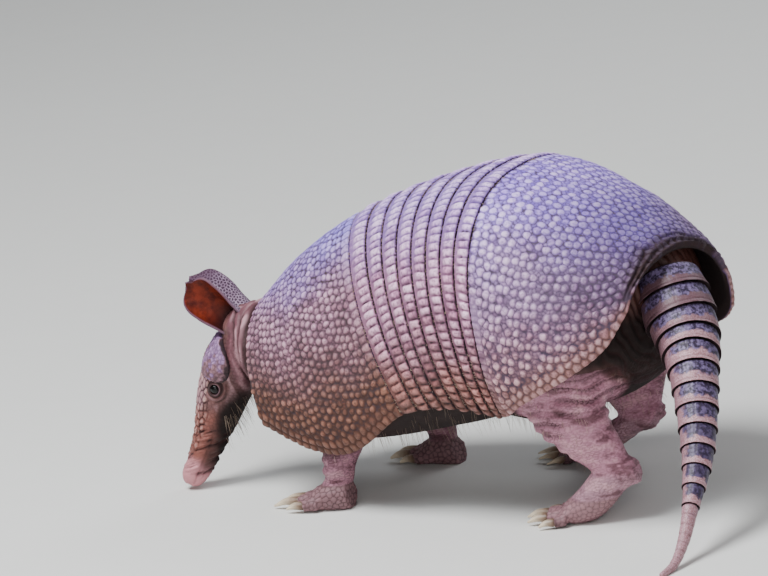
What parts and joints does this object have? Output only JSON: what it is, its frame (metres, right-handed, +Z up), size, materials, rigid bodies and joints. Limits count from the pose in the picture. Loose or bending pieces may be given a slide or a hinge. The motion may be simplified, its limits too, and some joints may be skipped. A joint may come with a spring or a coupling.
{
  "type": "nine-banded armadillo model",
  "caption": "Life-size still model of a nine-banded armadillo walking with its nose to the ground, with a banded shell, ringed tail, tall ears and blunt claws.",
  "frame": {"origin": "on the floor under the middle of the animal's bounding box", "axes": "+X from the nose towards the tail, +Y to the animal's right, +Z up"},
  "size_m": [0.3992, 0.2414, 0.1978],
  "materials": {
    "shell": "horny scales over bone with a soft gloss, blue-grey on the back and tan towards the margins",
    "flesh": "dull pinkish wrinkled skin with low bumps",
    "tail": "horny rings mottled blue-grey and cream",
    "claw": "pale worn horn",
    "eye": "wet black gloss"
  },
  "bodies": {
    "root": {"shoulder_shield": "shell", "band_1": "shell", "band_2": "shell", "band_3": "shell", "band_4": "shell", "band_5": "shell", "band_6": "shell", "band_7": "shell", "band_8": "shell", "hip_shield": "shell", "trunk": "flesh", "neck": "flesh", "head": "flesh", "head_shield": "shell", "ear_left": "flesh", "eye_left": "eye", "ear_right": "flesh", "eye_right": "eye", "tail_ring_1": "tail", "tail_ring_2": "tail", "tail_ring_3": "tail", "tail_ring_4": "tail", "tail_ring_5": "tail", "tail_ring_6": "tail", "tail_ring_7": "tail", "tail_ring_8": "tail", "tail_ring_9": "tail", "tail_ring_10": "tail", "tail_ring_11": "tail", "tail_ring_12": "tail", "tail_tip": "tail", "foreleg_left": "flesh", "forefoot_left": "flesh", "foreclaw_left_1": "claw", "foreclaw_left_2": "claw", "foreclaw_left_3": "claw", "foreclaw_left_4": "claw", "foreleg_right": "flesh", "forefoot_right": "flesh", "foreclaw_right_1": "claw", "foreclaw_right_2": "claw", "foreclaw_right_3": "claw", "foreclaw_right_4": "claw", "hindleg_left": "flesh", "hindfoot_left": "flesh", "hindclaw_left_1": "claw", "hindclaw_left_2": "claw", "hindclaw_left_3": "claw", "hindclaw_left_4": "claw", "hindclaw_left_5": "claw", "hindleg_right": "flesh", "hindfoot_right": "flesh", "hindclaw_right_1": "claw", "hindclaw_right_2": "claw", "hindclaw_right_3": "claw", "hindclaw_right_4": "claw", "hindclaw_right_5": "claw"}
  },
  "joints": []
}
